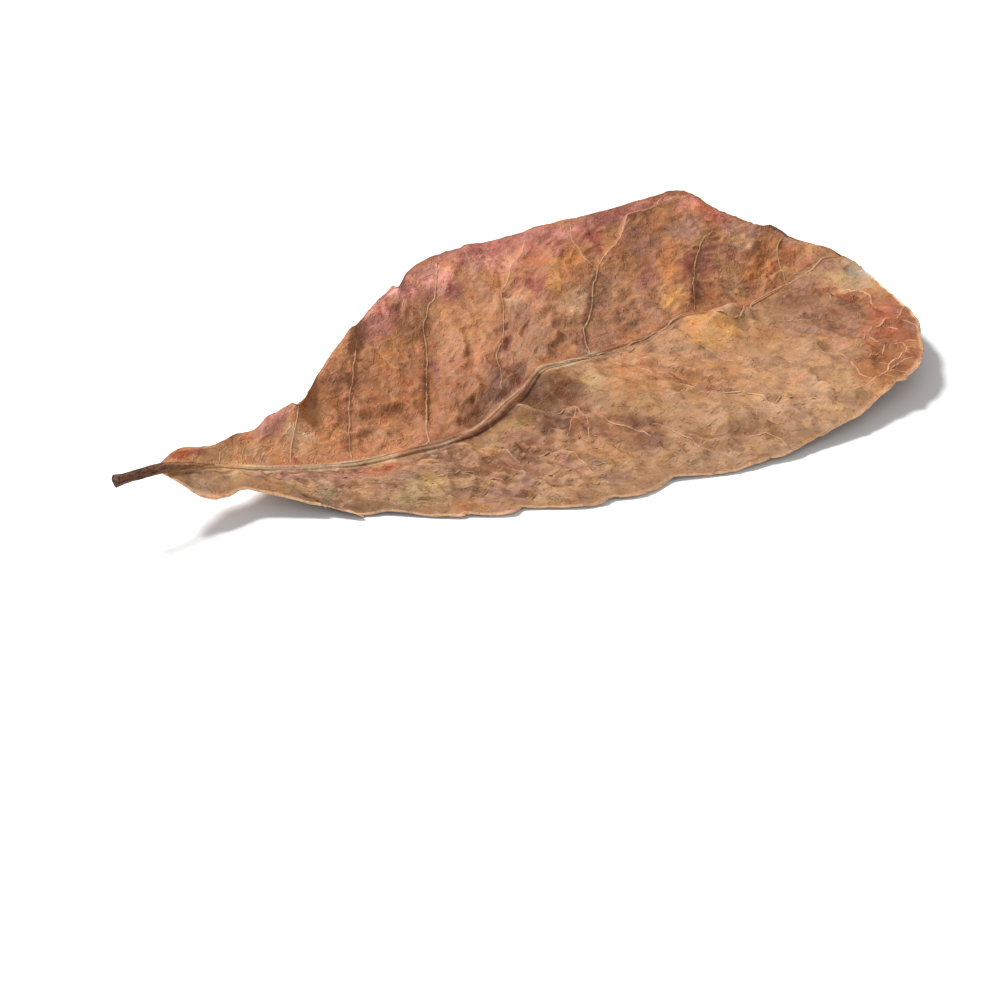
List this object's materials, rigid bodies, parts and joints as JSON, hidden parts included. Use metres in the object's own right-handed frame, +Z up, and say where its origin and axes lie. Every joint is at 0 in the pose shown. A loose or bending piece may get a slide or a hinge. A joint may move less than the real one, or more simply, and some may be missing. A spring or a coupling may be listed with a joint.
{
  "type": "dried leaf",
  "caption": "Dried indian almond leaf with a cupped, crinkled blade, a raised midrib, arching secondary veins and a short cut stalk.",
  "frame": {"origin": "the middle of the flat spot under the midrib that the leaf rests on, at the level of the surface below", "axes": "+X from the cut stalk towards the leaf's tip, +Y towards the raised half of the blade, +Z up, off the surface, on the side with the raised midrib"},
  "size_m": [0.1971, 0.0997, 0.0177],
  "materials": {
    "dry_leaf": "matt, dry and slightly waxy"
  },
  "bodies": {
    "root": {"leaf": "dry_leaf"}
  },
  "joints": []
}
